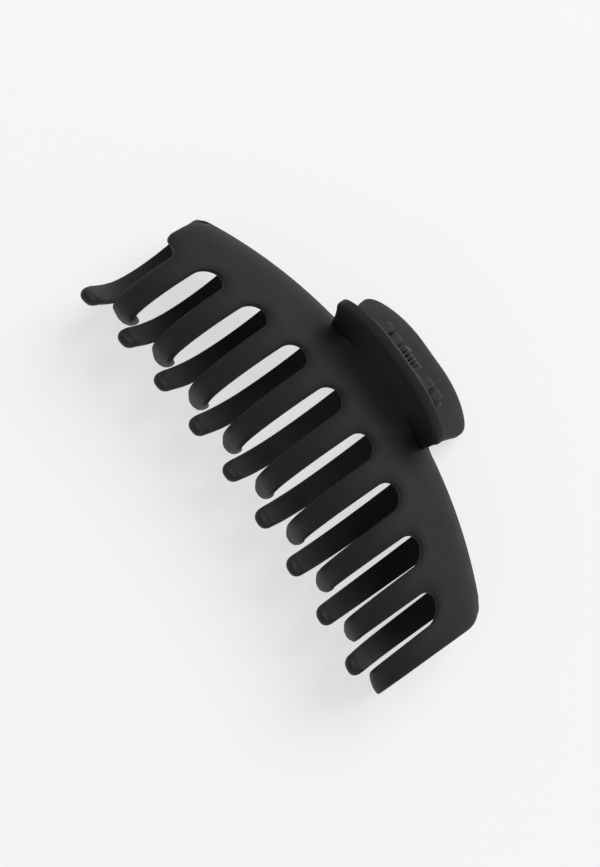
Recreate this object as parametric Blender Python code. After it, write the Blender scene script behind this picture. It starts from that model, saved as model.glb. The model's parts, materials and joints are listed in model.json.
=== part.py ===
"""Large claw hair clip: two toothed jaws, a hinge pin and a torsion spring.

Clip frame, used by every function below: X runs along the hinge axis, +Y points up the
handles, +Z out of the front jaw, and the hinge axis is the X axis. The rear jaw is the
front jaw turned half a turn about Y. At the end the clip is laid on its back: it rests on
the rear handle's lip and on the bellies of the rear teeth.
"""
import math

import bmesh
import bpy
import numpy as np
from mathutils import Matrix, Vector

MM = 0.001

# Driving dimensions of a jaw
TOOTH_COUNT = 9
TOOTH_PITCH = 12.38 * MM
TOOTH_WIDTH = 5.85 * MM              # at the slot roots
TIP_WIDTH = 4.8 * MM                 # where the round tip starts
TIP_SPLAY = 0.018                    # share by which the tips stand further out along X
WALL = 2.4 * MM                      # thickness of the moulding
ARCH_RADIUS = 119.0 * MM             # bow of the spine's top edge, seen from the front
TIP_LINE_RADIUS = 424.0 * MM         # bow of the line of tooth tips, seen from the front
DEPTH_LOSS = 0.022                   # share of the depth lost at the ends of the jaw

# Section of a jaw at the middle of the clip: an ellipse, then an arc under the clip
SECTION_CENTRE_Y = -24.0 * MM
SECTION_HALF_HEIGHT = 17.15 * MM
SECTION_HALF_DEPTH = 13.2 * MM
SPINE_GAP = 0.3 * MM                 # between the two spines when the clip is shut
BRANCH_ANGLE = math.radians(42.0)    # where the handle leaves the ellipse
ELLIPSE_END = math.radians(154.0)    # where the hooked tip takes over
TIP_REACH = 11.3 * MM                # how far a tip passes the middle plane
ROOT_DEPTH = 3.3 * MM                # along the section, from the branch to a slot's top
CORNER_RADIUS = 3.2 * MM             # rounded ends of the spine
CORNER_FALL = 0.62                   # share of the roof's height lost at the very end
STUB_LENGTH = 4.6 * MM               # spine beyond the first tooth's outer side
STUB_CORNER = 3.0 * MM

# Handle
NECK_HALF_WIDTH = 17.3 * MM
LIP_HALF_WIDTH = 19.8 * MM
LIP_HEIGHT = 2.2 * MM                # lip above the hinge axis
REST_TILT = math.radians(8.5)        # clip's own slope when it lies on its back
LIP_ARCH_RADIUS = 28.0 * MM          # bow of the lip, seen from the front
LIP_CROWN = 5.8 * MM                 # how much shorter the handle is at its sides
LIP_CORNER = 3.2 * MM
LIP_LAND = 3.2 * MM                  # half width of the lip's straight middle
NECK_PULL = 4.0 * MM                 # Bezier arm at the neck
LIP_PULL = 6.5 * MM                  # Bezier arm at the lip
NECK_SHARE = 0.45                    # where the spine's edge line crosses the Bezier
NECK_INNER = 6.0 * MM                # the spine is all handle inside this half width
NECK_OUTER = 19.5 * MM               # and all ellipse outside this one

# Hinge
KNUCKLE_RADIUS = 2.6 * MM
OUTER_KNUCKLE = (7.85 * MM, 10.4 * MM)
INNER_KNUCKLE = (4.55 * MM, 7.5 * MM)
WEB_SHARES = (0.2, 0.45)             # stretch of the Bezier that a knuckle's web meets
PIN_RADIUS = 0.95 * MM
BORE_RADIUS = 1.25 * MM
PIN_HEAD_RADIUS = 1.4 * MM
PIN_HEAD_LENGTH = 0.9 * MM
RUNNING_GAP = 0.3 * MM

# Spring
WIRE_RADIUS = 0.5 * MM
COIL_RADIUS = 2.05 * MM              # centre line of the wire
COIL_HALF_LENGTH = 2.65 * MM
COIL_SHIFT = -0.7 * MM               # coil's middle along X
COIL_TURNS = 5
REAR_LEG = (math.radians(96.0), 11.6 * MM)     # angle away from +Y, length
FRONT_LEG = (math.radians(120.0), 8.9 * MM)
LEG_SLANT = 0.4 * MM                 # how far a leg's end leans in along X

# Mesh resolution
PROFILE_SAMPLES = 400
SLOT_CELLS = 4
TOOTH_CELLS = 2
TOOTH_ROWS = 9
PLATE_ROWS = 2
NECK_ROWS = 4
HANDLE_ROWS = 6
TIP_STEPS = (math.radians(35.0), math.radians(70.0))
END_INSETS = (0.0, 0.43 * MM, 1.3 * MM)
ROUND_SIDES = 16
STEPS_PER_TURN = 14

PLASTIC_COLOUR = (0.018, 0.018, 0.019, 1.0)
SPRING_COLOUR = (0.02, 0.02, 0.021, 1.0)
PIN_COLOUR = (0.10, 0.10, 0.105, 1.0)

TINY = 1e-9
HEIGHT_STEP = 0.001                  # steps that a wall's direction is measured over
LENGTH_STEP = 0.01 * MM
SPINE_ANGLE = math.asin(SPINE_GAP / 2 / SECTION_HALF_DEPTH)
SLOT_WIDTH = TOOTH_PITCH - TOOTH_WIDTH
HALF_LENGTH = (TOOTH_COUNT // 2 + 0.25) * TOOTH_PITCH + TOOTH_WIDTH / 2
STUB_END = HALF_LENGTH - TOOTH_COUNT * TOOTH_PITCH + SLOT_WIDTH - STUB_LENGTH


def bow(distance, radius):
    """How far a circle of this radius has fallen away at a distance from its top."""
    return radius - math.sqrt(max(radius ** 2 - distance ** 2, 0.0))


def ease(value):
    """Smooth step from 0 to 1."""
    value = min(max(value, 0.0), 1.0)
    return value * value * (3 - 2 * value)


def ellipse_point(angle):
    return np.array((SECTION_CENTRE_Y + SECTION_HALF_HEIGHT * math.cos(angle),
                     SECTION_HALF_DEPTH * math.sin(angle)))


def lower_section():
    """Sampled section (Y, Z) from the branch down to the tooth tip, and its lengths."""
    points = [ellipse_point(a) for a in np.linspace(BRANCH_ANGLE, ELLIPSE_END, PROFILE_SAMPLES)]
    slope = math.atan2(SECTION_HALF_HEIGHT * math.sin(ELLIPSE_END),
                       -SECTION_HALF_DEPTH * math.cos(ELLIPSE_END))
    start = points[-1]
    radius = (start[1] + TIP_REACH) / math.sin(slope)
    for turn in np.linspace(slope, 0.0, PROFILE_SAMPLES // 4)[1:]:
        points.append(start - radius * np.array((math.cos(turn) - math.cos(slope),
                                                 math.sin(slope) - math.sin(turn))))
    points = np.array(points)
    steps = np.linalg.norm(np.diff(points, axis=0), axis=1)
    return points, np.concatenate(([0.0], np.cumsum(steps)))


SECTION, SECTION_LENGTHS = lower_section()
SECTION_END = SECTION_LENGTHS[-1]
SIDE_START = ROOT_DEPTH + SLOT_WIDTH / 2        # where a slot's straight sides start


def handle_point(share):
    """Section of the handle, a Bezier from the branch (0) to the lip (1)."""
    branch = ellipse_point(BRANCH_ANGLE)
    rise = np.array((SECTION_HALF_HEIGHT * math.sin(BRANCH_ANGLE),
                     -SECTION_HALF_DEPTH * math.cos(BRANCH_ANGLE)))
    lip = np.array((LIP_HEIGHT, LIP_REACH))
    outward = np.array((-math.sin(REST_TILT), math.cos(REST_TILT)))
    arms = (branch, branch + NECK_PULL * rise / np.linalg.norm(rise),
            lip - LIP_PULL * outward, lip)
    weights = ((1 - share) ** 3, 3 * share * (1 - share) ** 2,
               3 * share ** 2 * (1 - share), share ** 3)
    return sum(weight * arm for weight, arm in zip(weights, arms))


def upper_point(x, height):
    """Section above the branch: height 0 branch, 1 spine's edge line, 2 handle's lip."""
    spine = ellipse_point(BRANCH_ANGLE + (SPINE_ANGLE - BRANCH_ANGLE) * min(height, 1.0))
    neck_edge = handle_point(NECK_SHARE)
    blend = ease((NECK_OUTER - abs(x)) / (NECK_OUTER - NECK_INNER))
    if height <= 1.0:
        return spine + blend * (handle_point(NECK_SHARE * height) - spine)
    rest = 2.0 - height
    handle = handle_point(NECK_SHARE + (1 - NECK_SHARE) * (height - 1.0))
    return handle + (1 - blend) * rest ** 2 * (spine - neck_edge)


def middle_point(x, place):
    """Point of the wall's middle surface. A place >= 0 is a length below the branch, and
    a place < 0 is a height above it, with the sign turned."""
    beside = abs(x) / HALF_LENGTH
    drop = bow(x, ARCH_RADIUS)
    above_spine = max(-place - 1.0, 0.0)
    if place >= 0:
        y, z = (np.interp(place, SECTION_LENGTHS, SECTION[:, axis]) for axis in (0, 1))
        down = ease((place - ROOT_DEPTH) / (SECTION_END - ROOT_DEPTH))
        drop += down * (bow(x, TIP_LINE_RADIUS) - drop)
    else:
        y, z = upper_point(x, -place)
        lip_drop = bow(max(abs(x) - LIP_LAND, 0.0), LIP_ARCH_RADIUS)
        drop += above_spine * (lip_drop - drop)
    depth = 1 - DEPTH_LOSS * beside ** 2 * (1 - above_spine)
    return np.array((y - drop, z * depth))


def wall_point(x, place, side, shown_x):
    """Point on the outer (side 1) or inner (side -1) face of the wall."""
    step = HEIGHT_STEP if place < 0 else LENGTH_STEP
    low = min(place, SECTION_END - step)
    high = low + step
    along = middle_point(x, high) - middle_point(x, low)
    along /= np.linalg.norm(along)
    normal = np.array((along[1], -along[0]))
    y, z = middle_point(x, place) + side * WALL / 2 * normal
    if place < 0:
        z = max(z, SPINE_GAP / 2)
    return Vector((shown_x, y, z))


def tooth_centre(index):
    return (index - TOOTH_COUNT // 2) * TOOTH_PITCH + TOOTH_PITCH / 4


def tooth_rows():
    """Rows down a tooth: (place, taper share, width factor)."""
    tip_start = SECTION_END - TIP_WIDTH / 2
    shares = [row / TOOTH_ROWS for row in range(1, TOOTH_ROWS + 1)]
    rows = [(SIDE_START + share * (tip_start - SIDE_START), share, 1.0) for share in shares]
    rows += [(tip_start + math.sin(turn) * TIP_WIDTH / 2, 1.0, math.cos(turn))
             for turn in TIP_STEPS]
    return rows


def resting_level():
    """Lowest level of both jaws' teeth, measured square to the resting plane."""
    levels = []
    for index in range(TOOTH_COUNT):
        for beside in (-TOOTH_WIDTH / 2, TOOTH_WIDTH / 2):
            for place, _, _ in tooth_rows():
                _, y, z = wall_point(tooth_centre(index) + beside, place, 1, 0.0)
                levels += [y * math.sin(REST_TILT) - abs(z) * math.cos(REST_TILT)]
    return min(levels)


# The lip reaches as far out as the teeth do, so the clip lies on both
LIP_REACH = (LIP_HEIGHT * math.sin(REST_TILT) - resting_level()) / math.cos(REST_TILT)


def lower_edge(x):
    """Place of the spine's lower edge: the slots' round tops between the teeth."""
    first_slot = tooth_centre(0) - TOOTH_PITCH / 2
    slot = first_slot + max(round((x - first_slot) / TOOTH_PITCH), 0) * TOOTH_PITCH
    beside = x - slot if x > first_slot else 0.0
    rise = math.sqrt(max((SLOT_WIDTH / 2) ** 2 - beside ** 2, 0.0))
    return SIDE_START - rise - bow(max(STUB_END + STUB_CORNER - x, 0.0), STUB_CORNER)


def spine_columns():
    """X of each grid column along the jaw."""
    columns = [-NECK_HALF_WIDTH, NECK_HALF_WIDTH]
    columns += [STUB_END + inset for inset in END_INSETS]
    columns += [HALF_LENGTH - inset for inset in END_INSETS[1:]]
    for index in range(TOOTH_COUNT):
        columns += [tooth_centre(index) + TOOTH_WIDTH * (step / TOOTH_CELLS - 0.5)
                    for step in range(TOOTH_CELLS + 1)]
        slot = tooth_centre(index) - TOOTH_PITCH / 2
        columns += [slot - SLOT_WIDTH / 2 * math.cos(math.pi * step / SLOT_CELLS)
                    for step in range(1, SLOT_CELLS)]
    return sorted(x for x in columns if x >= STUB_END)


def spine_top(x):
    """Height of the spine's edge at x: 1, less at the rounded ends."""
    inside = min(x - STUB_END, HALF_LENGTH - x, CORNER_RADIUS)
    return 1 - CORNER_FALL * bow(CORNER_RADIUS - inside, CORNER_RADIUS) / CORNER_RADIUS


def lip_top(x):
    """Height of the handle's lip at column x: 2 at the middle, less at the sides."""
    beside = abs(x) * LIP_HALF_WIDTH / NECK_HALF_WIDTH
    crown = LIP_CROWN * (max(beside - LIP_LAND, 0.0) / (LIP_HALF_WIDTH - LIP_LAND)) ** 2
    corner = bow(min(max(beside - LIP_HALF_WIDTH + LIP_CORNER, 0.0), LIP_CORNER), LIP_CORNER)
    return 2 - (crown + corner) / LIP_REACH


def jaw_sheet():
    """Grid of the jaw: a list of (x, place, shown x) and quads of indices."""
    points, quads, known = [], [], {}

    def add(key, x, place, shown_x=None):
        if key not in known:
            known[key] = len(points)
            points.append((x, place, x if shown_x is None else shown_x))
        return known[key]

    def strip(ids):
        for left, right in zip(ids, ids[1:]):
            for row in range(len(left) - 1):
                quads.append((left[row], right[row], right[row + 1], left[row + 1]))

    columns = spine_columns()
    plate = []
    for x in columns:
        rows = [lower_edge(x) * (1 - row / PLATE_ROWS) for row in range(PLATE_ROWS + 1)]
        rows += [-spine_top(x) * (row + 1) / NECK_ROWS for row in range(NECK_ROWS)]
        plate.append([add((x, row), x, place) for row, place in enumerate(rows)])
    strip(plate)

    edge_row = PLATE_ROWS + NECK_ROWS
    handle = []
    for x in columns:
        if abs(x) > NECK_HALF_WIDTH + TINY:
            continue
        top = lip_top(x) - 1
        ids = [add((x, edge_row), x, -1.0)]
        for row in range(1, HANDLE_ROWS + 1):
            height = top * row / HANDLE_ROWS
            widen = 1 + (LIP_HALF_WIDTH / NECK_HALF_WIDTH - 1) * ease(height)
            ids.append(add((x, "handle", row), x, -1.0 - height, x * widen))
        handle.append(ids)
    strip(handle)

    for index in range(TOOTH_COUNT):
        centre = tooth_centre(index)
        tooth = []
        for x in columns:
            if abs(x - centre) > TOOTH_WIDTH / 2 + TINY:
                continue
            ids = [add((x, 0), x, SIDE_START)]
            for row, (place, share, narrow) in enumerate(tooth_rows()):
                taper = 1 + share * (TIP_WIDTH / TOOTH_WIDTH - 1)
                shown = centre * (1 + TIP_SPLAY * share) + (x - centre) * taper * narrow
                ids.append(add((x, "tooth", index, row), x, place, shown))
            tooth.append(ids[::-1])
        strip(tooth)
    return points, quads


def solid_wall():
    """Closed jaw moulding without its knuckles, as a bmesh."""
    points, quads = jaw_sheet()
    body = bmesh.new()
    faces = {}
    for side in (1, -1):
        faces[side] = [body.verts.new(wall_point(x, place, side, shown))
                       for x, place, shown in points]
    borders = {}
    for quad in quads:
        body.faces.new([faces[1][i] for i in quad])
        body.faces.new([faces[-1][i] for i in reversed(quad)])
        for start, end in zip(quad, quad[1:] + quad[:1]):
            if borders.pop((end, start), None) is None:
                borders[(start, end)] = True
    for start, end in borders:
        body.faces.new((faces[1][end], faces[1][start], faces[-1][start], faces[-1][end]))
    bmesh.ops.recalc_face_normals(body, faces=body.faces)
    if body.calc_volume(signed=True) < 0:
        bmesh.ops.reverse_faces(body, faces=body.faces)
    return body


def mesh_object(name, body, material=None, parent=None):
    mesh = bpy.data.meshes.new(name)
    body.to_mesh(mesh)
    body.free()
    result = bpy.data.objects.new(name, mesh)
    bpy.context.scene.collection.objects.link(result)
    if material:
        mesh.materials.append(material)
    result.parent = parent
    return result


def prism(outline, start, end):
    """Solid between two X planes with the outline (Y, Z)."""
    body = bmesh.new()
    rings = [[body.verts.new((x, y, z)) for y, z in outline] for x in (start, end)]
    body.faces.new(rings[0])
    body.faces.new(reversed(rings[1]))
    for index in range(len(outline)):
        after = (index + 1) % len(outline)
        body.faces.new((rings[0][after], rings[0][index], rings[1][index], rings[1][after]))
    bmesh.ops.recalc_face_normals(body, faces=body.faces)
    return body


def circle(radius, sides=ROUND_SIDES):
    return [(radius * math.cos(2 * math.pi * (i + 0.5) / sides),
             radius * math.sin(2 * math.pi * (i + 0.5) / sides)) for i in range(sides)]


def hull(points):
    """Convex outline round a set of (Y, Z) points."""
    def half(ordered):
        chain = []
        for point in ordered:
            while len(chain) > 1:
                (ay, az), (by, bz) = chain[-2:]
                if (by - ay) * (point[1] - az) - (bz - az) * (point[0] - ay) > 0:
                    break
                chain.pop()
            chain.append(point)
        return chain[:-1]
    ordered = sorted(set((float(y), float(z)) for y, z in points))
    return half(ordered) + half(ordered[::-1])


def tool(target, helper, operation):
    """Join or cut the target with a helper solid, which is left out of the model."""
    helper.hide_render = True
    helper.display_type = "WIRE"
    modifier = target.modifiers.new(helper.name, "BOOLEAN")
    modifier.operation = operation
    modifier.solver = "EXACT"
    modifier.object = helper


def make_jaw(name, material, parent):
    jaw = mesh_object(name, solid_wall(), material, parent)
    spans = (tuple(-edge for edge in OUTER_KNUCKLE[::-1]), INNER_KNUCKLE)
    for index, (start, end) in enumerate(spans):
        middle = (start + end) / 2
        roots = [middle_point(middle, -1 - (share - NECK_SHARE) / (1 - NECK_SHARE))
                 for share in WEB_SHARES]
        outline = hull(circle(KNUCKLE_RADIUS) + [tuple(root) for root in roots])
        knuckle = mesh_object(f"{name}_knuckle_{index}", prism(outline, start, end), parent=jaw)
        tool(jaw, knuckle, "UNION")
    reach = 2 * OUTER_KNUCKLE[1]
    bore = mesh_object(f"{name}_bore", prism(circle(BORE_RADIUS), -reach, reach), parent=jaw)
    tool(jaw, bore, "DIFFERENCE")
    return jaw


def make_pin(material, parent):
    """Straight pin: flush in one outer knuckle, with a flattened head beyond the other."""
    head = OUTER_KNUCKLE[1] + RUNNING_GAP
    stations = ((-OUTER_KNUCKLE[1], PIN_RADIUS), (head, PIN_RADIUS), (head, PIN_HEAD_RADIUS),
                (head + PIN_HEAD_LENGTH * 0.6, PIN_HEAD_RADIUS),
                (head + PIN_HEAD_LENGTH, PIN_HEAD_RADIUS * 0.7))
    body = bmesh.new()
    rings = [[body.verts.new((x, y, z)) for y, z in circle(radius)] for x, radius in stations]
    body.faces.new(rings[0])
    body.faces.new(rings[-1])
    for ring, after in zip(rings, rings[1:]):
        for i in range(ROUND_SIDES):
            j = (i + 1) % ROUND_SIDES
            body.faces.new((ring[i], ring[j], after[j], after[i]))
    bmesh.ops.recalc_face_normals(body, faces=body.faces)
    return mesh_object("hinge_pin", body, material, parent)


def spring_path():
    """Centre line of the wire: rear leg, coil, front leg."""
    first = math.pi / 2 - REAR_LEG[0]
    last = 2 * math.pi * COIL_TURNS + FRONT_LEG[0] - math.pi / 2
    count = int(STEPS_PER_TURN * (last - first) / (2 * math.pi))
    coil = []
    for step in range(count + 1):
        turn = first + (last - first) * step / count
        x = COIL_SHIFT + COIL_HALF_LENGTH * (2 * step / count - 1)
        coil.append(Vector((x, COIL_RADIUS * math.cos(turn), COIL_RADIUS * math.sin(turn))))
    legs = [Vector((-side * LEG_SLANT, length * math.cos(angle), side * length * math.sin(angle)))
            for side, (angle, length) in ((-1, REAR_LEG), (1, FRONT_LEG))]
    return [coil[0] + legs[0]] + coil + [coil[-1] + legs[1]]


def make_spring(material, parent):
    curve = bpy.data.curves.new("torsion_spring", "CURVE")
    curve.dimensions = "3D"
    curve.bevel_depth = WIRE_RADIUS
    curve.bevel_resolution = 1
    curve.use_fill_caps = True
    path = spring_path()
    spline = curve.splines.new("POLY")
    spline.points.add(len(path) - 1)
    for point, place in zip(spline.points, path):
        point.co = (*place, 1.0)
    curve.materials.append(material)
    spring = bpy.data.objects.new("torsion_spring", curve)
    bpy.context.scene.collection.objects.link(spring)
    spring.parent = parent
    return spring


def plain_material(name, colour, roughness, metallic):
    material = bpy.data.materials.new(name)
    material.use_nodes = True
    shader = material.node_tree.nodes["Principled BSDF"]
    shader.inputs["Base Color"].default_value = colour
    shader.inputs["Roughness"].default_value = roughness
    shader.inputs["Metallic"].default_value = metallic
    return material


def lay_down(clip, jaws):
    """Tilt the clip on to its back, stand it on Z = 0 and centre it on the origin."""
    tilt = Matrix.Rotation(REST_TILT, 4, "X")
    corners = [tilt @ jaw.matrix_basis @ vertex.co for jaw in jaws for vertex in jaw.data.vertices]
    front = max(corner.y for corner in corners)
    back = min(corner.y for corner in corners)
    clip.rotation_euler = (REST_TILT, 0, 0)
    clip.location = (0, -(front + back) / 2, -min(corner.z for corner in corners))


def main():
    for item in list(bpy.data.objects):
        bpy.data.objects.remove(item, do_unlink=True)
    plastic = plain_material("matte_black_plastic", PLASTIC_COLOUR, 0.62, 0.0)
    wire = plain_material("black_spring_wire", SPRING_COLOUR, 0.45, 0.6)
    steel = plain_material("dark_pin_steel", PIN_COLOUR, 0.4, 1.0)
    clip = bpy.data.objects.new("clip", None)
    bpy.context.scene.collection.objects.link(clip)
    front_jaw = make_jaw("front_jaw", plastic, clip)
    rear_jaw = make_jaw("rear_jaw", plastic, clip)
    rear_jaw.rotation_euler = (0, math.pi, 0)
    make_pin(steel, clip)
    make_spring(wire, clip)
    bpy.context.view_layer.update()
    lay_down(clip, (front_jaw, rear_jaw))


main()
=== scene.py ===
"""Large matte black claw hair clip, lying on its back on a pale studio floor.

The CAD frame gives the bodies, the hinge and the size. This script makes the visible surfaces:
two moulded jaws with crowned teeth and rounded edges, the hinge pin and the spring's wire.

Clip frame, used by the modelling functions: X runs along the hinge axis, +Y points up the
handles, +Z out of the front jaw. A jaw is drawn flat first, as a pattern: x along the hinge and
t down the wall's section, both in metres, with t = 0 where the handle leaves the spine's curve.
"""
import json
import math

import bmesh
import bpy
import numpy as np
from mathutils import Matrix, Vector
from mathutils.geometry import delaunay_2d_cdt


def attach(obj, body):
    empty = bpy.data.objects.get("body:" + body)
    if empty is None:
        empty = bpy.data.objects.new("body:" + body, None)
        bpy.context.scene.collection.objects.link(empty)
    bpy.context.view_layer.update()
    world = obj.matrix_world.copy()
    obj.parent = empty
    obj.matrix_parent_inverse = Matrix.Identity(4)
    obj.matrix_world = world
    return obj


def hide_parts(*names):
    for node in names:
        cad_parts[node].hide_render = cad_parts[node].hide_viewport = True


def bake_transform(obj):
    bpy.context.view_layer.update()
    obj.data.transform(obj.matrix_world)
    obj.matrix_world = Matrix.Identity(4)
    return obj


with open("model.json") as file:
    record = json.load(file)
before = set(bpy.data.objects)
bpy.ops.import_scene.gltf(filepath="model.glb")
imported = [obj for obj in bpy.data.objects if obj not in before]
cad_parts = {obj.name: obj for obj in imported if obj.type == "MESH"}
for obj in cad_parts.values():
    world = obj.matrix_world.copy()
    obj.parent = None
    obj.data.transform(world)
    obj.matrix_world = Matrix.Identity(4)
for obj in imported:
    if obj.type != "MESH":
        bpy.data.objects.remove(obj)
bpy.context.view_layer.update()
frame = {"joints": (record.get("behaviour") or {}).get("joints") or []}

MM = 0.001

# Jaw, as in the CAD model
TOOTH_COUNT = 9
TOOTH_PITCH = 12.38 * MM
TOOTH_WIDTH = 5.85 * MM
TIP_WIDTH = 4.8 * MM
TIP_SPLAY = 0.018
WALL = 2.4 * MM
ARCH_RADIUS = 119.0 * MM
TIP_LINE_RADIUS = 424.0 * MM
DEPTH_LOSS = 0.022
SECTION_CENTRE_Y = -24.0 * MM
SECTION_HALF_HEIGHT = 17.15 * MM
SECTION_HALF_DEPTH = 13.2 * MM
SPINE_GAP = 0.3 * MM
BRANCH_ANGLE = math.radians(42.0)
ELLIPSE_END = math.radians(154.0)
TIP_REACH = 11.3 * MM
ROOT_DEPTH = 3.3 * MM
CORNER_RADIUS = 3.2 * MM
CORNER_FALL = 0.62
STUB_LENGTH = 4.6 * MM
STUB_CORNER = 3.0 * MM
NECK_HALF_WIDTH = 17.3 * MM
LIP_HALF_WIDTH = 19.8 * MM
LIP_HEIGHT = 2.2 * MM
REST_TILT = math.radians(8.5)
LIP_ARCH_RADIUS = 28.0 * MM
LIP_CROWN = 5.8 * MM
LIP_CORNER = 3.2 * MM
LIP_LAND = 3.2 * MM
NECK_PULL = 4.0 * MM
LIP_PULL = 6.5 * MM
NECK_SHARE = 0.45
NECK_INNER = 6.0 * MM
NECK_OUTER = 19.5 * MM

# Hinge and spring, as in the CAD model
KNUCKLE_RADIUS = 2.6 * MM
OUTER_KNUCKLE = (7.85 * MM, 10.4 * MM)
INNER_KNUCKLE = (4.55 * MM, 7.5 * MM)
WEB_SHARES = (0.2, 0.45)
BORE_RADIUS = 1.25 * MM
PIN_RADIUS = 0.95 * MM
PIN_HEAD_RADIUS = 1.4 * MM
PIN_HEAD_LENGTH = 0.9 * MM
RUNNING_GAP = 0.3 * MM
WIRE_RADIUS = 0.5 * MM
COIL_RADIUS = 2.05 * MM
COIL_HALF_LENGTH = 2.65 * MM
COIL_SHIFT = -0.7 * MM
COIL_TURNS = 5
REAR_LEG = (math.radians(96.0), 11.6 * MM)
FRONT_LEG = (math.radians(120.0), 8.9 * MM)
LEG_SLANT = 0.4 * MM

# Surface detail that the CAD model leaves out
CROWN = 0.6 * MM                     # how far a tooth's outer face falls away at its sides
CROWN_REACH = 2.5 * MM
BEND_CROWN = 1.8 * MM                # more on the hooks, which are nearly round
BEND_REACH = 12.0 * MM
TIP_SWELL = 0.8 * MM                 # the tips are round all over, and thicker outside
TIP_FADE = (-2.5 * MM, 1.5 * MM)     # from the tip's start: where the round form sets in
LIP_EDGE = 1.4 * MM                  # the handle's free edge is well rounded outside
OUTER_EDGE = 0.35 * MM               # edge radii
INNER_EDGE = 0.2 * MM
KNUCKLE_EDGE = 0.6 * MM
PIN_EDGE = 0.08 * MM
PIN_CROWN_SHARE = 0.6                # rounded part of the head's length
PIN_FLAT_SHARE = 0.3                 # flat part of the head's radius
CUT_END = (0.12, 0.86)               # wire ends: length and width of the chamfer, in radii
HIGHLIGHT_REACH = 0.4 * MM                # how far in from an edge the painted edge highlight reaches
# Strength of the painted highlight all over the knuckles
KNUCKLE_HIGHLIGHT = 0.3

# Mesh resolution
BORDER_STEP = 0.45 * MM
RINGS = tuple(ring * MM for ring in (0.06, 0.16, 0.35, 0.8, 1.4, 2.0))
RING_TOLERANCE = 0.03                # share of a ring's distance
FILL_STEP = 0.95 * MM
ARC_STEPS = 14
EDGE_STEPS = 6
ROUND_SIDES = 48
SECTION_SAMPLES = 2000
WIRE_SIDES = 16
STEPS_PER_TURN = 40

# Camera: its turns away from looking straight down, and where it looks, from the hinge
VIEW_TILT = math.radians(2.36)
VIEW_YAW = math.radians(-4.12)
VIEW_ROLL = math.radians(-54.72)
LOOK_AT = Vector((-1.8, -28.56, 0.0)) * MM
CAMERA_DISTANCE = 617.7 * MM
LENS = 114.5
SENSOR_WIDTH = 36.0
CLIP_RANGE = (0.05, 20.0)

# Studio light
FLOOR_GLOW = 0.635                   # the floor is lit from below, like a light table
FLOOR_SIZE = 6.0
SKY = 0.28
KEY_PLACE = (1.2, 0.9, 1.55)         # right and up in the picture, height above the floor
KEY_SIZE = 1.5
KEY_POWER = 31.0

HINGE = Vector(frame["joints"][0]["pos_m"])
SPINE_ANGLE = math.asin(SPINE_GAP / 2 / SECTION_HALF_DEPTH)
SLOT_WIDTH = TOOTH_PITCH - TOOTH_WIDTH
SIDE_START = ROOT_DEPTH + SLOT_WIDTH / 2
HALF_LENGTH = (TOOTH_COUNT // 2 + 0.25) * TOOTH_PITCH + TOOTH_WIDTH / 2
STUB_END = HALF_LENGTH - TOOTH_COUNT * TOOTH_PITCH + SLOT_WIDTH - STUB_LENGTH
# The rear handle's lip stands on the floor, this far behind the clip's middle plane
LIP_REACH = (LIP_HEIGHT * math.sin(REST_TILT) + HINGE.z) / math.cos(REST_TILT)


# ---------------------------------------------------------------- wall of a jaw

def bow(distance, radius):
    """How far a circle of this radius has fallen away at a distance from its top."""
    return radius - np.sqrt(np.maximum(radius ** 2 - np.square(distance), 0.0))


def ease(value):
    value = np.clip(value, 0.0, 1.0)
    return value * value * (3 - 2 * value)


def ellipse_point(angle):
    return np.stack((SECTION_CENTRE_Y + SECTION_HALF_HEIGHT * np.cos(angle),
                     SECTION_HALF_DEPTH * np.sin(angle)), axis=-1)


def handle_point(share):
    """Section of the handle, a Bezier from the branch (0) to the lip (1)."""
    branch = ellipse_point(BRANCH_ANGLE)
    rise = np.array((SECTION_HALF_HEIGHT * math.sin(BRANCH_ANGLE),
                     -SECTION_HALF_DEPTH * math.cos(BRANCH_ANGLE)))
    lip = np.array((LIP_HEIGHT, LIP_REACH))
    outward = np.array((-math.sin(REST_TILT), math.cos(REST_TILT)))
    arms = (branch, branch + NECK_PULL * rise / np.linalg.norm(rise), lip - LIP_PULL * outward, lip)
    share = np.asarray(share)[..., None]
    weights = ((1 - share) ** 3, 3 * share * (1 - share) ** 2, 3 * share ** 2 * (1 - share),
               share ** 3)
    return sum(weight * arm for weight, arm in zip(weights, arms))


def lower_section():
    """Section from the branch down to the tooth tip: an ellipse, then the hook's arc."""
    ellipse = ellipse_point(np.linspace(BRANCH_ANGLE, ELLIPSE_END, SECTION_SAMPLES))
    slope = math.atan2(SECTION_HALF_HEIGHT * math.sin(ELLIPSE_END),
                       -SECTION_HALF_DEPTH * math.cos(ELLIPSE_END))
    radius = (ellipse[-1, 1] + TIP_REACH) / math.sin(slope)
    turn = np.linspace(slope, 0.0, SECTION_SAMPLES // 4)[1:]
    hook = ellipse[-1] - radius * np.stack((np.cos(turn) - math.cos(slope),
                                            math.sin(slope) - np.sin(turn)), axis=-1)
    return np.vstack((ellipse, hook))


def run_lengths(points):
    steps = np.linalg.norm(np.diff(points, axis=0), axis=1)
    return np.concatenate(([0.0], np.cumsum(steps)))


SECTION = lower_section()
SECTION_LENGTHS = run_lengths(SECTION)
SECTION_END = SECTION_LENGTHS[-1]
TIP_START = SECTION_END - TIP_WIDTH / 2
ROOF_RUN = run_lengths(ellipse_point(np.linspace(BRANCH_ANGLE, SPINE_ANGLE, 100)))[-1]
HANDLE_RUN = run_lengths(handle_point(np.linspace(NECK_SHARE, 1.0, 100)))[-1]


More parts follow.
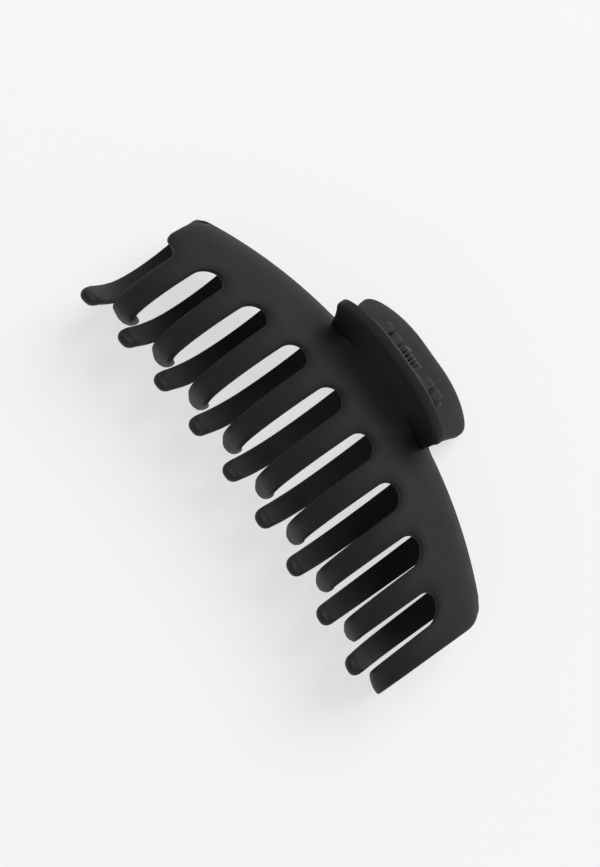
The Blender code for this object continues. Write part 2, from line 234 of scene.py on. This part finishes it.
def upper_point(x, height):
    """Section above the branch: height 0 branch, 1 spine's edge line, 2 handle's lip."""
    low = np.minimum(height, 1.0)
    rest = 2.0 - np.maximum(height, 1.0)
    blend = ease((NECK_OUTER - np.abs(x)) / (NECK_OUTER - NECK_INNER))[..., None]
    spine = ellipse_point(BRANCH_ANGLE + (SPINE_ANGLE - BRANCH_ANGLE) * low)
    roof = spine + blend * (handle_point(NECK_SHARE * low) - spine)
    handle = handle_point(NECK_SHARE + (1 - NECK_SHARE) * (1.0 - rest))
    handle += (1 - blend) * rest[..., None] ** 2 * (spine - handle_point(NECK_SHARE))
    return np.where((height <= 1.0)[..., None], roof, handle)


def middle_point(x, t):
    """(Y, Z) of the wall's middle surface."""
    height = np.where(t > -ROOF_RUN, -t / ROOF_RUN, 1.0 - (t + ROOF_RUN) / HANDLE_RUN)
    above_spine = np.clip(height - 1.0, 0.0, None)
    lower = np.stack([np.interp(t, SECTION_LENGTHS, SECTION[:, axis]) for axis in (0, 1)], axis=-1)
    yz = np.where((t >= 0)[..., None], lower, upper_point(x, np.maximum(height, 0.0)))
    arch = bow(x, ARCH_RADIUS)
    down = ease((t - ROOT_DEPTH) / (SECTION_END - ROOT_DEPTH))
    lip_drop = bow(np.maximum(np.abs(x) - LIP_LAND, 0.0), LIP_ARCH_RADIUS)
    drop = arch + down * (bow(x, TIP_LINE_RADIUS) - arch) + above_spine * (lip_drop - arch)
    depth = 1 - DEPTH_LOSS * (np.abs(x) / HALF_LENGTH) ** 2 * (1 - above_spine)
    return np.stack((yz[..., 0] - drop, yz[..., 1] * depth), axis=-1)


def shown_x(x, t):
    """Where a pattern point lies along the hinge: teeth taper and splay, the handle widens."""
    index = np.clip(np.round((x - TOOTH_PITCH / 4) / TOOTH_PITCH), -(TOOTH_COUNT // 2),
                    TOOTH_COUNT // 2)
    centre = index * TOOTH_PITCH + TOOTH_PITCH / 4
    share = np.clip((t - SIDE_START) / (TIP_START - SIDE_START), 0.0, 1.0)
    tooth = centre * (1 + TIP_SPLAY * share)
    tooth += (x - centre) * (1 + share * (TIP_WIDTH / TOOTH_WIDTH - 1))
    widen = 1 + (LIP_HALF_WIDTH / NECK_HALF_WIDTH - 1) * ease((-t - ROOF_RUN) / HANDLE_RUN)
    return np.where(t > SIDE_START, tooth, x * widen)


def wall_points(x, t, offset):
    """Points at an offset from the wall's middle surface, outwards positive."""
    step = 0.01 * MM
    low = np.minimum(t, SECTION_END - step)
    along = middle_point(x, low + step) - middle_point(x, low)
    along /= np.linalg.norm(along, axis=-1, keepdims=True)
    yz = middle_point(x, t) + offset[..., None] * np.stack((along[..., 1], -along[..., 0]), axis=-1)
    z = np.where(t < 0, np.maximum(yz[..., 1], SPINE_GAP / 2), yz[..., 1])
    return np.stack((shown_x(x, t), yz[..., 0], z), axis=-1)


# ---------------------------------------------------------------- flat pattern of a jaw

def arc(centre, half_x, half_t, start, end):
    turns = np.radians(np.linspace(start, end, ARC_STEPS + 1))
    return [(centre[0] + half_x * math.cos(a), centre[1] - half_t * math.sin(a)) for a in turns]


def spine_end(x_end, inward):
    """Rounded corner of the spine, from its end to its top edge."""
    corner = []
    for a in np.radians(np.linspace(0.0, 90.0, ARC_STEPS + 1)):
        top = 1 - CORNER_FALL * (1 - math.sin(a))
        corner.append((x_end + inward * CORNER_RADIUS * (1 - math.cos(a)), -ROOF_RUN * top))
    return corner


def lip_edge():
    """The handle's free edge, from its left side to its right side."""
    straight = LIP_HALF_WIDTH - LIP_CORNER
    beside = [straight + LIP_CORNER * math.sin(a)
              for a in np.radians(np.linspace(90.0, 0.0, ARC_STEPS + 1))]
    beside += [straight * (1 - step / ARC_STEPS) for step in range(1, ARC_STEPS + 1)]
    beside = np.array(beside)
    crown = LIP_CROWN * (np.maximum(beside - LIP_LAND, 0.0) / (LIP_HALF_WIDTH - LIP_LAND)) ** 2
    corner = bow(np.maximum(beside - straight, 0.0), LIP_CORNER)
    t = -ROOF_RUN - HANDLE_RUN * (1 - (crown + corner) / LIP_REACH)
    x = beside * NECK_HALF_WIDTH / LIP_HALF_WIDTH
    left = list(zip(-x, t))
    return left + [(-px, pt) for px, pt in left[-2::-1]]


def stub_edge():
    """Lower edge of the spine from the first tooth to the stub's rounded end."""
    turns = np.radians(np.linspace(0.0, 90.0, ARC_STEPS + 1))
    slot = tooth_centre(0) - TOOTH_PITCH / 2
    corner = STUB_END + STUB_CORNER
    x = np.concatenate((slot + SLOT_WIDTH / 2 * np.cos(turns),
                        corner - STUB_CORNER * np.sin(turns)))
    x = np.sort(x)[::-1]
    rise = SLOT_WIDTH / 2 - bow(np.maximum(x - slot, 0.0), SLOT_WIDTH / 2)
    t = SIDE_START - rise - bow(np.clip(corner - x, 0.0, STUB_CORNER), STUB_CORNER)
    return list(zip(x, t))


def pattern_border():
    """Corners of the jaw's border, clockwise from the stub's end."""
    points = spine_end(STUB_END, 1) + [(-NECK_HALF_WIDTH, -ROOF_RUN)] + lip_edge()
    points += [(NECK_HALF_WIDTH, -ROOF_RUN)] + spine_end(HALF_LENGTH, -1)[::-1]
    for index in reversed(range(TOOTH_COUNT)):
        centre = tooth_centre(index)
        points += arc((centre, TIP_START), TOOTH_WIDTH / 2, -TIP_WIDTH / 2, 0.0, 180.0)
        if index:
            slot = (centre - TOOTH_PITCH / 2, SIDE_START)
            points += arc(slot, SLOT_WIDTH / 2, SLOT_WIDTH / 2, 0.0, 180.0)
    return points + stub_edge()


def tooth_centre(index):
    return (index - TOOTH_COUNT // 2) * TOOTH_PITCH + TOOTH_PITCH / 4


def fine_border():
    """The border with points about BORDER_STEP apart, in order and without repeats."""
    corners = pattern_border()
    fine = []
    for start, end in zip(corners, corners[1:] + corners[:1]):
        start, end = np.array(start), np.array(end)
        length = np.linalg.norm(end - start)
        if length < 0.01 * MM:
            continue
        count = max(round(length / BORDER_STEP), 1)
        fine += [start + (end - start) * step / count for step in range(count)]
    return np.array(fine)


def distance_to(points, starts, ends):
    """Distance of each point to the nearest of the segments."""
    nearest = np.full(len(points), np.inf)
    for start, end in zip(starts, ends):
        run = end - start
        share = np.clip((points - start) @ run / (run @ run), 0.0, 1.0)
        gap = points - start - share[:, None] * run
        nearest = np.minimum(nearest, np.einsum("ij,ij->i", gap, gap))
    return np.sqrt(nearest)


def ring_points(border, starts, ends):
    """Points on lines that follow the border inside it, for the rounded edges."""
    runs = np.roll(border, -1, axis=0) - np.roll(border, 1, axis=0)
    runs /= np.linalg.norm(runs, axis=1, keepdims=True)
    inward = np.stack((-runs[:, 1], runs[:, 0]), axis=1)
    found = []
    for ring in RINGS:
        line = border + ring * inward
        line = line[np.abs(distance_to(line, starts, ends) - ring) < RING_TOLERANCE * ring]
        kept = [line[0]]
        for point in line[1:]:
            if np.linalg.norm(point - kept[-1]) > BORDER_STEP * 0.5:
                kept.append(point)
        found += kept
    return found


def fill_points(starts, ends):
    """Staggered grid over the rest of the wall."""
    rows = np.arange(-ROOF_RUN - HANDLE_RUN, SECTION_END, FILL_STEP * math.sqrt(3) / 2)
    columns = np.arange(STUB_END, HALF_LENGTH, FILL_STEP)
    grid = np.array([(x + FILL_STEP / 2 * (row % 2), t) for row, t in enumerate(rows)
                     for x in columns])
    return grid[distance_to(grid, starts, ends) > RINGS[-1] + FILL_STEP * 0.45]


def jaw_pattern():
    """Triangles of the flat pattern: points, faces, indices of the border's points."""
    border = fine_border()
    starts, ends = border, np.roll(border, -1, axis=0)
    points = np.vstack((border, ring_points(border, starts, ends), fill_points(starts, ends)))
    count = len(border)
    edges = [(i, (i + 1) % count) for i in range(count)]
    flat = [Vector(point / MM) for point in points]
    made, _, faces, sources, _, _ = delaunay_2d_cdt(flat, edges, [], 1, 1e-5)
    used = sorted({i for face in faces for i in face})
    renumbered = {old: new for new, old in enumerate(used)}
    place = {source: i for i, origin in enumerate(sources) for source in origin}
    return (np.array(made)[used] * MM, [[renumbered[i] for i in face] for face in faces],
            [renumbered[place[i]] for i in range(count)])


def edge_drop(distance, reach, depth):
    """Fall of a rounded edge, a quarter of an ellipse."""
    share = np.clip(1 - distance / reach, 0.0, 1.0)
    return depth * (1 - np.sqrt(1 - share ** 2))


def jaw_surface():
    """Vertices, faces and painted edge highlight of one jaw's wall, in the clip frame."""
    points, faces, border = jaw_pattern()
    x, t = points[:, 0], points[:, 1]
    starts = points[border]
    ends = np.roll(starts, -1, axis=0)
    any_edge = distance_to(points, starts, ends)
    toothed = (np.minimum(starts[:, 1], ends[:, 1]) > -ROOF_RUN * 0.9)
    tooth_edge = distance_to(points, starts[toothed], ends[toothed])

    tip = ease((t - TIP_START - TIP_FADE[0]) / (TIP_FADE[1] - TIP_FADE[0]))
    fall = np.square(np.maximum(1 - tooth_edge / CROWN_REACH, 0.0))
    outer_edge = OUTER_EDGE + ease((-t - ROOF_RUN) / HANDLE_RUN) * (LIP_EDGE - OUTER_EDGE)
    bend = ease((t - TIP_START + BEND_REACH) / BEND_REACH)
    outer = WALL / 2 + TIP_SWELL * bend
    outer -= (CROWN + bend * (BEND_CROWN - CROWN)) * (1 - tip) * fall
    outer -= edge_drop(any_edge, outer_edge + tip * (TIP_WIDTH / 2 - outer_edge),
                       outer_edge + tip * (WALL / 2 + TIP_SWELL - outer_edge))
    inner = np.full(len(points), -WALL / 2)
    inner += edge_drop(any_edge, INNER_EDGE + tip * (TIP_WIDTH / 2 - INNER_EDGE),
                       INNER_EDGE + tip * (WALL / 2 - INNER_EDGE))

    vertices = np.vstack((wall_points(x, t, outer), wall_points(x, t, inner)))
    count = len(points)
    skin = [tuple(reversed(face)) for face in faces]
    skin += [tuple(i + count for i in face) for face in faces]
    for start, end in zip(border, border[1:] + border[:1]):
        skin.append((start, end, end + count, start + count))
    # Painted highlight: full strength at every edge, fading inwards over the highlight reach
    painted_highlight = np.tile(np.exp(-np.square(any_edge / HIGHLIGHT_REACH)), 2)
    return vertices, skin, painted_highlight


# ---------------------------------------------------------------- knuckles, pin and spring

def star_radius(outline, angle):
    """Distance from the hinge axis to a convex outline in a direction."""
    ray = np.array((math.cos(angle), math.sin(angle)))
    reach = 0.0
    for start, end in zip(outline, outline[1:] + outline[:1]):
        start, run = np.array(start), np.array(end) - np.array(start)
        cross = ray[0] * run[1] - ray[1] * run[0]
        if abs(cross) < 1e-12:
            continue
        far = (start[0] * run[1] - start[1] * run[0]) / cross
        share = (start[0] * ray[1] - start[1] * ray[0]) / cross
        if far > 0 and -1e-6 <= share <= 1 + 1e-6:
            reach = max(reach, far)
    return reach


def hull(points):
    """Convex outline round a set of (Y, Z) points."""
    def half(ordered):
        chain = []
        for point in ordered:
            while len(chain) > 1:
                (ay, az), (by, bz) = chain[-2:]
                if (by - ay) * (point[1] - az) - (bz - az) * (point[0] - ay) > 0:
                    break
                chain.pop()
            chain.append(point)
        return chain[:-1]
    ordered = sorted(set((float(y), float(z)) for y, z in points))
    return half(ordered) + half(ordered[::-1])


def turned(profile, sides=ROUND_SIDES):
    """Closed ring of a profile [(x, radius of each angle)] turned about the hinge axis."""
    vertices, faces = [], []
    angles = [2 * math.pi * side / sides for side in range(sides)]
    for x, radii in profile:
        vertices += [(x, r * math.cos(a), r * math.sin(a)) for a, r in zip(angles, radii)]
    for i in range(len(profile)):
        j = (i + 1) % len(profile)
        for side in range(sides):
            after = (side + 1) % sides
            faces.append((i * sides + side, i * sides + after, j * sides + after, j * sides + side))
    return vertices, faces


def knuckle(start, end):
    middle = np.array((start + end) / 2)
    circle = [(KNUCKLE_RADIUS * math.cos(a), KNUCKLE_RADIUS * math.sin(a))
              for a in np.linspace(0.0, 2 * math.pi, ROUND_SIDES, endpoint=False)]
    roots = [middle_point(middle, np.array(-ROOF_RUN - HANDLE_RUN * (share - NECK_SHARE)
                                           / (1 - NECK_SHARE))) for share in WEB_SHARES]
    outline = hull(circle + [tuple(root) for root in roots])
    full = np.array([star_radius(outline, 2 * math.pi * side / ROUND_SIDES)
                     for side in range(ROUND_SIDES)])
    bore = np.full(ROUND_SIDES, BORE_RADIUS)
    profile = [(start, bore)]
    for a in np.radians(np.linspace(0.0, 90.0, EDGE_STEPS)):
        profile.append((start + KNUCKLE_EDGE * (1 - math.cos(a)),
                        full - KNUCKLE_EDGE * (1 - math.sin(a))))
    profile += [(start + end - x, radii) for x, radii in profile[::-1]]
    return turned(profile)


def pin():
    """Straight pin, flush at one end and with a rounded head at the other."""
    end = -OUTER_KNUCKLE[1]
    head = OUTER_KNUCKLE[1] + RUNNING_GAP
    profile = [(end, 0.0), (end, PIN_RADIUS - PIN_EDGE), (end + PIN_EDGE, PIN_RADIUS),
               (head - PIN_EDGE, PIN_RADIUS), (head, PIN_RADIUS), (head, PIN_HEAD_RADIUS)]
    crown = PIN_HEAD_LENGTH * PIN_CROWN_SHARE
    profile += [(head + PIN_HEAD_LENGTH - crown * (1 - math.sin(a)),
                 PIN_HEAD_RADIUS * (PIN_FLAT_SHARE + (1 - PIN_FLAT_SHARE) * math.cos(a)))
                for a in np.radians(np.linspace(0, 90, EDGE_STEPS + 1))]
    profile.append((head + PIN_HEAD_LENGTH, 0.0))
    vertices, faces = turned([(x, [r] * ROUND_SIDES) for x, r in profile])
    return vertices, faces[:-ROUND_SIDES]


def spring_path():
    """Centre line of the wire: rear leg, coil, front leg."""
    first = math.pi / 2 - REAR_LEG[0]
    last = 2 * math.pi * COIL_TURNS + FRONT_LEG[0] - math.pi / 2
    count = int(STEPS_PER_TURN * (last - first) / (2 * math.pi))
    coil = []
    for step in range(count + 1):
        turn = first + (last - first) * step / count
        coil.append(Vector((COIL_SHIFT + COIL_HALF_LENGTH * (2 * step / count - 1),
                            COIL_RADIUS * math.cos(turn), COIL_RADIUS * math.sin(turn))))
    legs = [Vector((-side * LEG_SLANT, length * math.cos(angle), side * length * math.sin(angle)))
            for side, (angle, length) in ((-1, REAR_LEG), (1, FRONT_LEG))]
    return [coil[0] + legs[0]] + coil + [coil[-1] + legs[1]]


def tube(path, radius):
    """Round wire along a path, with softly rounded cut ends."""
    vertices, faces = [], []
    directions = [(after - before).normalized()
                  for before, after in zip(path[:1] + path[:-1], path[1:] + path[-1:])]
    side = directions[0].orthogonal().normalized()
    rings = []
    for place, direction in zip(path, directions):
        side = (side - side.dot(direction) * direction).normalized()
        rings.append((place, side.copy(), direction.cross(side), radius))
    ends = [(rings[0], -directions[0]), (rings[-1], directions[-1])]
    caps = [(place + CUT_END[0] * radius * out, a, b, CUT_END[1] * radius)
            for (place, a, b, _), out in ends]
    rings = [caps[0]] + rings + [caps[1]]
    for place, a, b, size in rings:
        for step in range(WIRE_SIDES):
            turn = 2 * math.pi * step / WIRE_SIDES
            vertices.append(place + size * (math.cos(turn) * a + math.sin(turn) * b))
    for ring in range(len(rings) - 1):
        for step in range(WIRE_SIDES):
            after = (step + 1) % WIRE_SIDES
            faces.append((ring * WIRE_SIDES + step, ring * WIRE_SIDES + after,
                          (ring + 1) * WIRE_SIDES + after, (ring + 1) * WIRE_SIDES + step))
    faces.append(tuple(range(WIRE_SIDES))[::-1])
    faces.append(tuple(range(len(vertices) - WIRE_SIDES, len(vertices))))
    return vertices, faces


# ---------------------------------------------------------------- objects

def make_object(name, vertices, faces, material, matrix):
    mesh = bpy.data.meshes.new(name)
    mesh.from_pydata([tuple(matrix @ Vector(v)) for v in vertices], [], faces)
    solid = bmesh.new()
    solid.from_mesh(mesh)
    bmesh.ops.recalc_face_normals(solid, faces=solid.faces)
    solid.to_mesh(mesh)
    solid.free()
    mesh.shade_smooth()
    mesh.materials.append(material)
    result = bpy.data.objects.new(name, mesh)
    bpy.context.scene.collection.objects.link(result)
    return result


def make_jaw(name, node, body, surface, material, matrix):
    """One moulding: the wall with its two knuckles."""
    vertices, faces, painted_highlight = surface
    vertices, faces, painted_highlight = list(vertices), list(faces), list(painted_highlight)
    for start, end in ((-OUTER_KNUCKLE[1], -OUTER_KNUCKLE[0]), INNER_KNUCKLE):
        more, skin = knuckle(start, end)
        faces += [tuple(len(vertices) + i for i in face) for face in skin]
        vertices += more
        # The knuckles get a weaker painted highlight all over
        painted_highlight += [KNUCKLE_HIGHLIGHT] * len(more)
    jaw = make_object(name, vertices, faces, material, matrix)
    # Mesh attribute holding the painted edge highlight
    jaw.data.attributes.new("edge_highlight_paint", "FLOAT", "POINT").data.foreach_set("value", painted_highlight)
    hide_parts(node)
    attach(jaw, body)
    return jaw


# ---------------------------------------------------------------- materials

def start_material(name, colour, roughness, metallic=0.0):
    """Principled material; colour and roughness stay as its plain values under the nodes."""
    material = bpy.data.materials.new(name)
    material.use_nodes = True
    tree = material.node_tree
    shader = tree.nodes["Principled BSDF"]
    shader.inputs["Base Color"].default_value = (*colour, 1.0)
    shader.inputs["Roughness"].default_value = roughness
    shader.inputs["Metallic"].default_value = metallic
    return material, tree, shader


def noise(tree, scale, detail=3.0, roughness=0.5):
    """Noise in the object's own coordinates; scale is in cells per metre."""
    coordinates = tree.nodes.new("ShaderNodeTexCoord")
    texture = tree.nodes.new("ShaderNodeTexNoise")
    texture.inputs["Scale"].default_value = scale
    texture.inputs["Detail"].default_value = detail
    texture.inputs["Roughness"].default_value = roughness
    tree.links.new(coordinates.outputs["Object"], texture.inputs["Vector"])
    return texture.outputs["Fac"]


def remap(tree, value, low, high):
    node = tree.nodes.new("ShaderNodeMapRange")
    node.inputs["From Min"].default_value = 0.3
    node.inputs["From Max"].default_value = 0.7
    node.inputs["To Min"].default_value = low
    node.inputs["To Max"].default_value = high
    tree.links.new(value, node.inputs["Value"])
    return node.outputs["Result"]


def mix_colours(tree, factor, first, second):
    node = tree.nodes.new("ShaderNodeMix")
    node.data_type = "RGBA"
    tree.links.new(factor, node.inputs["Factor"])
    for socket, colour in (("A", first), ("B", second)):
        sockets = [s for s in node.inputs if s.name == socket and s.type == "RGBA"]
        if isinstance(colour, tuple):
            sockets[0].default_value = (*colour, 1.0)
        else:
            tree.links.new(colour, sockets[0])
    return [s for s in node.outputs if s.type == "RGBA"][0]


def add_bump(tree, shader, height, depth, strength=1.0):
    bump = tree.nodes.new("ShaderNodeBump")
    bump.inputs["Strength"].default_value = strength
    bump.inputs["Distance"].default_value = depth
    tree.links.new(height, bump.inputs["Height"])
    tree.links.new(bump.outputs["Normal"], shader.inputs["Normal"])


def soft_touch_plastic():
    """Matte black moulding: fine grain, faint mottling and a painted highlight along the edges."""
    material, tree, shader = start_material("matte_black_plastic", (0.022, 0.022, 0.0222), 0.55)
    shader.inputs["Specular IOR Level"].default_value = 0.3
    mottle = remap(tree, noise(tree, 90.0, detail=4.0), 0.0, 1.0)
    body = mix_colours(tree, mottle, (0.0178, 0.0178, 0.018), (0.0204, 0.0203, 0.0205))
    # Painted highlight: the mesh attribute marks the edges, where the colour is made lighter
    painted_highlight = tree.nodes.new("ShaderNodeAttribute")
    painted_highlight.attribute_name = "edge_highlight_paint"
    faded = tree.nodes.new("ShaderNodeMath")
    faded.operation = "MULTIPLY"
    faded.inputs[1].default_value = 0.5
    tree.links.new(painted_highlight.outputs["Fac"], faded.inputs[0])
    highlighted_colour = mix_colours(tree, faded.outputs[0], body, (0.028, 0.0278, 0.0275))
    tree.links.new(highlighted_colour, shader.inputs["Base Color"])
    tree.links.new(remap(tree, noise(tree, 260.0), 0.62, 0.7), shader.inputs["Roughness"])
    add_bump(tree, shader, noise(tree, 5200.0, detail=2.0), 0.012 * MM, 0.6)
    return material


def spring_wire():
    """Black-coated spring wire with drawing marks."""
    material, tree, shader = start_material("black_spring_wire", (0.012, 0.012, 0.012), 0.5)
    shader.inputs["Specular IOR Level"].default_value = 0.3
    tone = remap(tree, noise(tree, 700.0), 0.0, 1.0)
    tree.links.new(mix_colours(tree, tone, (0.009, 0.009, 0.0092), (0.018, 0.0178, 0.0175)),
                   shader.inputs["Base Color"])
    tree.links.new(remap(tree, noise(tree, 1500.0), 0.42, 0.55), shader.inputs["Roughness"])
    add_bump(tree, shader, noise(tree, 4000.0), 0.01 * MM, 0.4)
    return material


def pin_steel():
    """Dark steel of the hinge pin, lightly mottled."""
    material, tree, shader = start_material("dark_pin_steel", (0.03, 0.03, 0.031), 0.5, 0.5)
    tone = remap(tree, noise(tree, 900.0), 0.0, 1.0)
    tree.links.new(mix_colours(tree, tone, (0.022, 0.022, 0.023), (0.04, 0.039, 0.038)),
                   shader.inputs["Base Color"])
    tree.links.new(remap(tree, noise(tree, 1800.0), 0.45, 0.6), shader.inputs["Roughness"])
    add_bump(tree, shader, noise(tree, 5000.0), 0.008 * MM, 0.4)
    return material


def pale_floor():
    material, tree, shader = start_material("pale_floor", (0.4, 0.4, 0.4), 0.9)
    shader.inputs["Specular IOR Level"].default_value = 0.1
    shader.inputs["Emission Color"].default_value = (1.0, 1.0, 1.0, 1.0)
    shader.inputs["Emission Strength"].default_value = FLOOR_GLOW
    tone = remap(tree, noise(tree, 6.0), 0.0, 1.0)
    tree.links.new(mix_colours(tree, tone, (0.395, 0.395, 0.396), (0.405, 0.405, 0.405)),
                   shader.inputs["Base Color"])
    return material


# ---------------------------------------------------------------- studio

def view_axes():
    """Camera's axes in the world: its right, its up and towards it."""
    turn = (Matrix.Rotation(VIEW_ROLL, 3, "Z") @ Matrix.Rotation(VIEW_YAW, 3, "Y")
            @ Matrix.Rotation(VIEW_TILT, 3, "X"))
    return turn.transposed()


def add_camera():
    data = bpy.data.cameras.new("camera")
    data.lens = LENS
    data.sensor_width = SENSOR_WIDTH
    data.clip_start, data.clip_end = CLIP_RANGE
    camera = bpy.data.objects.new("camera", data)
    bpy.context.scene.collection.objects.link(camera)
    axes = view_axes()
    target = HINGE + Matrix.Rotation(REST_TILT, 3, "X") @ LOOK_AT
    camera.matrix_world = Matrix.LocRotScale(target + axes @ Vector((0, 0, CAMERA_DISTANCE)),
                                             axes.to_quaternion(), None)
    bpy.context.scene.camera = camera


def add_light(name, place, size, power):
    """Area light aimed at the clip, placed by the picture's right and up, and by its height."""
    right, up, height = place
    data = bpy.data.lights.new(name, "AREA")
    data.shape = "DISK"
    data.size = size
    data.energy = power
    light = bpy.data.objects.new(name, data)
    bpy.context.scene.collection.objects.link(light)
    axes = view_axes()
    light.location = axes @ Vector((right, up, 0.0))
    light.location.z = height
    light.rotation_mode = "QUATERNION"
    light.rotation_quaternion = (-light.location).to_track_quat("-Z", "Y")


def add_studio():
    bpy.ops.mesh.primitive_plane_add(size=FLOOR_SIZE, location=(0, 0, 0))
    floor = bpy.context.active_object
    floor.name = "studio_floor"
    floor.data.materials.append(pale_floor())
    world = bpy.data.worlds.new("studio")
    world.use_nodes = True
    background = world.node_tree.nodes["Background"]
    background.inputs["Color"].default_value = (1.0, 1.0, 1.0, 1.0)
    background.inputs["Strength"].default_value = SKY
    scene = bpy.context.scene
    scene.world = world
    scene.view_settings.view_transform = "Standard"
    add_light("key", KEY_PLACE, KEY_SIZE, KEY_POWER)


def main():
    clip = Matrix.Translation(HINGE) @ Matrix.Rotation(REST_TILT, 4, "X")
    plastic = soft_touch_plastic()
    surface = jaw_surface()
    make_jaw("front_jaw_moulding", "front_jaw", "front_half", surface, plastic, clip)
    make_jaw("rear_jaw_moulding", "rear_jaw", "rear_half", surface, plastic,
             clip @ Matrix.Rotation(math.pi, 4, "Y"))

    steel_pin = make_object("hinge_pin_steel", *pin(), pin_steel(), clip)
    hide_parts("hinge_pin")
    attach(steel_pin, "rear_half")

    spring = make_object("torsion_spring_wire", *tube(spring_path(), WIRE_RADIUS), spring_wire(),
                         clip)
    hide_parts("torsion_spring")
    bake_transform(spring)

    add_camera()
    add_studio()


main()
bpy.context.view_layer.update()
